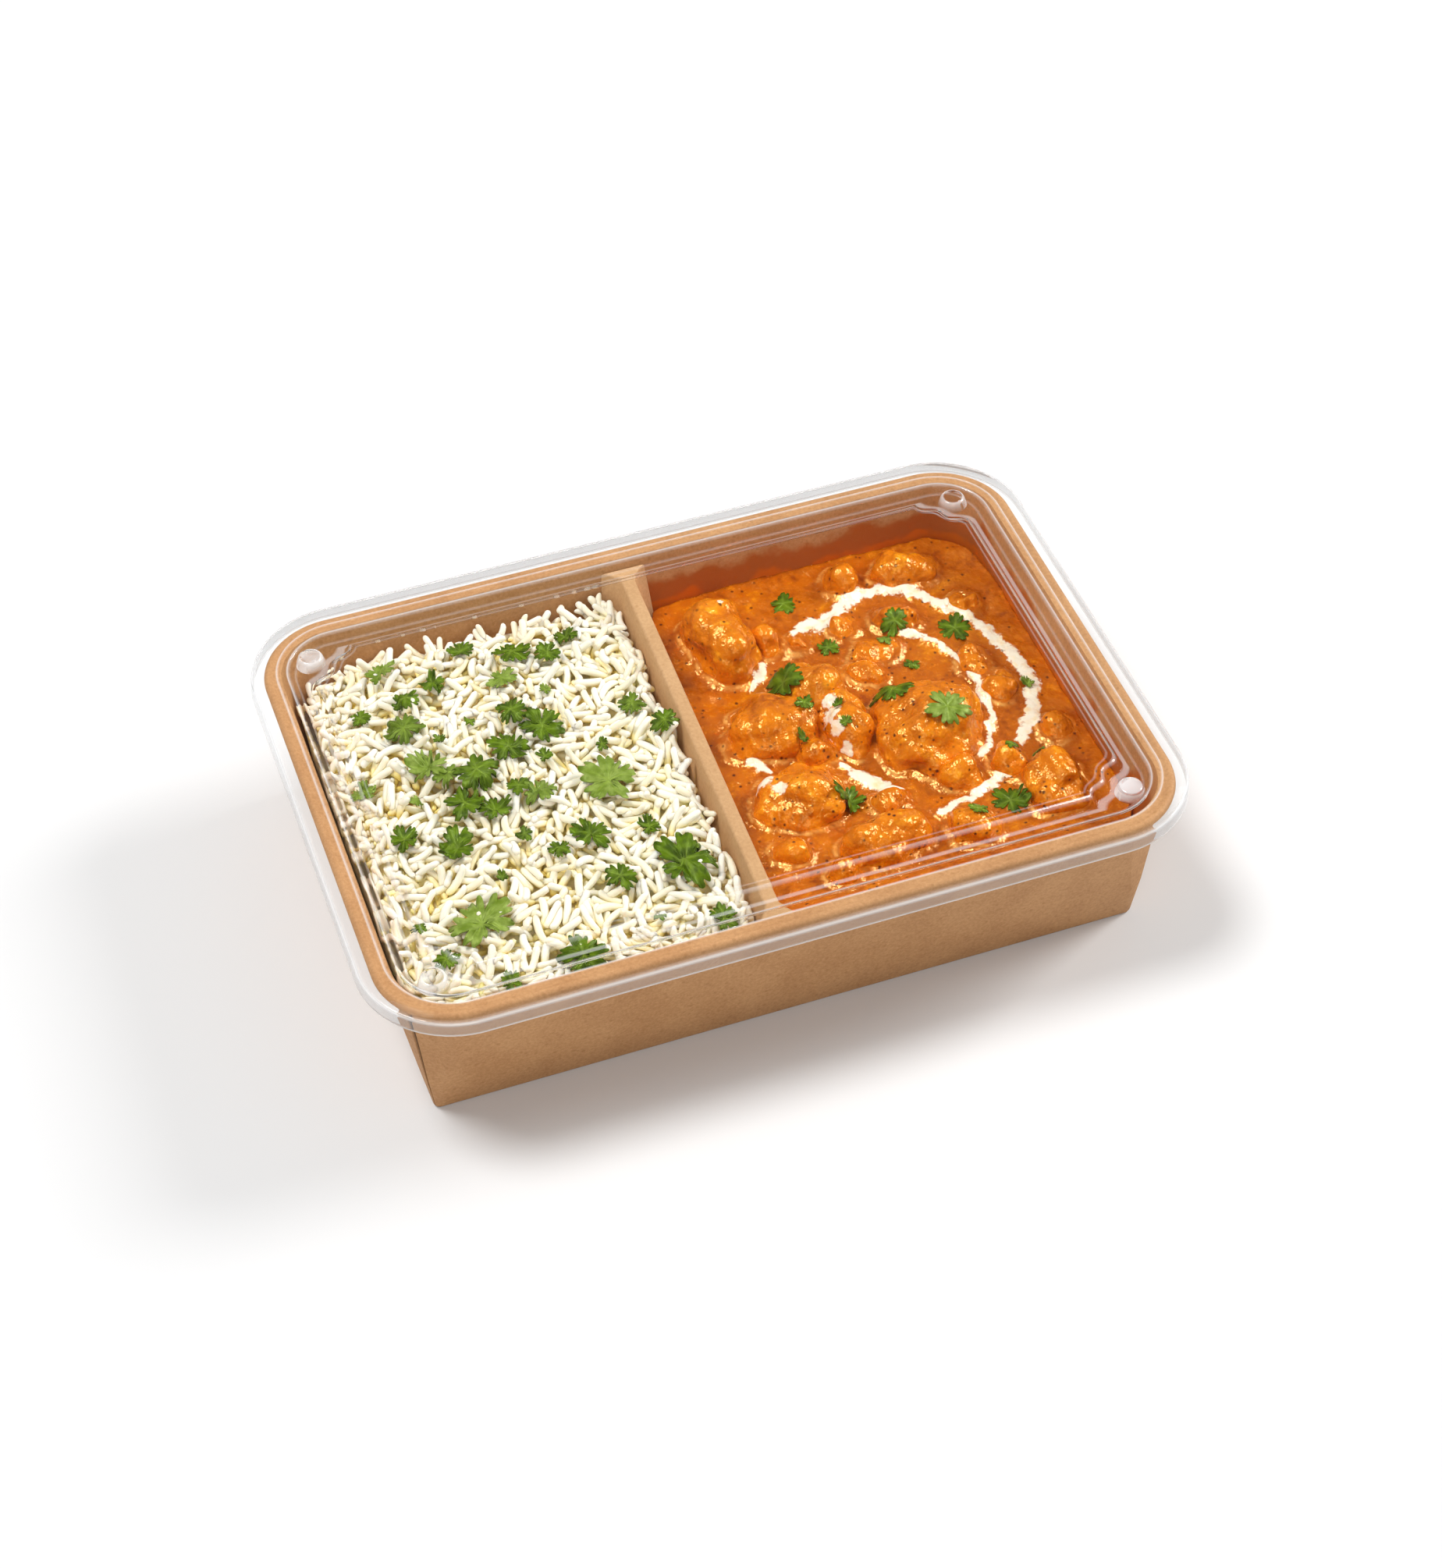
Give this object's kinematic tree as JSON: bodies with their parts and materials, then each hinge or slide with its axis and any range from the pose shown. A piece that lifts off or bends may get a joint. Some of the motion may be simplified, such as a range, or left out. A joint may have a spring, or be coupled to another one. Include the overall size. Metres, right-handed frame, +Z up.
{
  "type": "bento box meal",
  "caption": "Two-compartment kraft tray with a clear press-fit lid, holding white rice with coriander and chicken in creamy orange sauce.",
  "frame": {"origin": "middle of the base, on the table", "axes": "+X along the long side from the rice to the curry, +Y to the back, +Z up"},
  "size_m": [0.2334, 0.1634, 0.0521],
  "materials": {
    "kraft": "plain brown board, satin",
    "kraft_divider": "plain brown board, satin",
    "clear_lid": "clear, gloss",
    "rice": "moist cooked grain, satin",
    "sauce": "wet and oily, gloss",
    "chicken": "meat coated with sauce, gloss",
    "coriander": "fresh leaf, satin"
  },
  "bodies": {
    "root": {"tray": "kraft", "divider": "kraft_divider", "lid": "clear_lid", "rice": "rice", "sauce": "sauce", "chicken_01": "chicken", "chicken_02": "chicken", "chicken_03": "chicken", "chicken_04": "chicken", "chicken_05": "chicken", "chicken_06": "chicken", "chicken_07": "chicken", "chicken_08": "chicken", "chicken_09": "chicken", "chicken_10": "chicken", "chicken_11": "chicken", "chicken_12": "chicken", "chicken_13": "chicken", "chicken_14": "chicken", "chicken_15": "chicken", "chicken_16": "chicken", "chicken_17": "chicken", "chicken_18": "chicken", "chicken_19": "chicken", "chicken_20": "chicken", "chicken_21": "chicken", "chicken_22": "chicken", "chicken_23": "chicken", "chicken_24": "chicken", "rice_leaf_01": "coriander", "rice_leaf_02": "coriander", "rice_leaf_03": "coriander", "rice_leaf_04": "coriander", "rice_leaf_05": "coriander", "rice_leaf_06": "coriander", "rice_leaf_07": "coriander", "rice_leaf_08": "coriander", "rice_leaf_09": "coriander", "rice_leaf_10": "coriander", "rice_leaf_11": "coriander", "rice_leaf_12": "coriander", "rice_leaf_13": "coriander", "rice_leaf_14": "coriander", "rice_leaf_15": "coriander", "rice_leaf_16": "coriander", "rice_leaf_17": "coriander", "rice_leaf_18": "coriander", "rice_leaf_19": "coriander", "rice_leaf_20": "coriander", "rice_leaf_21": "coriander", "rice_leaf_22": "coriander", "sauce_leaf_01": "coriander", "sauce_leaf_02": "coriander", "sauce_leaf_03": "coriander", "sauce_leaf_04": "coriander", "sauce_leaf_05": "coriander", "sauce_leaf_06": "coriander", "sauce_leaf_07": "coriander", "sauce_leaf_08": "coriander", "sauce_leaf_09": "coriander"}
  },
  "joints": []
}
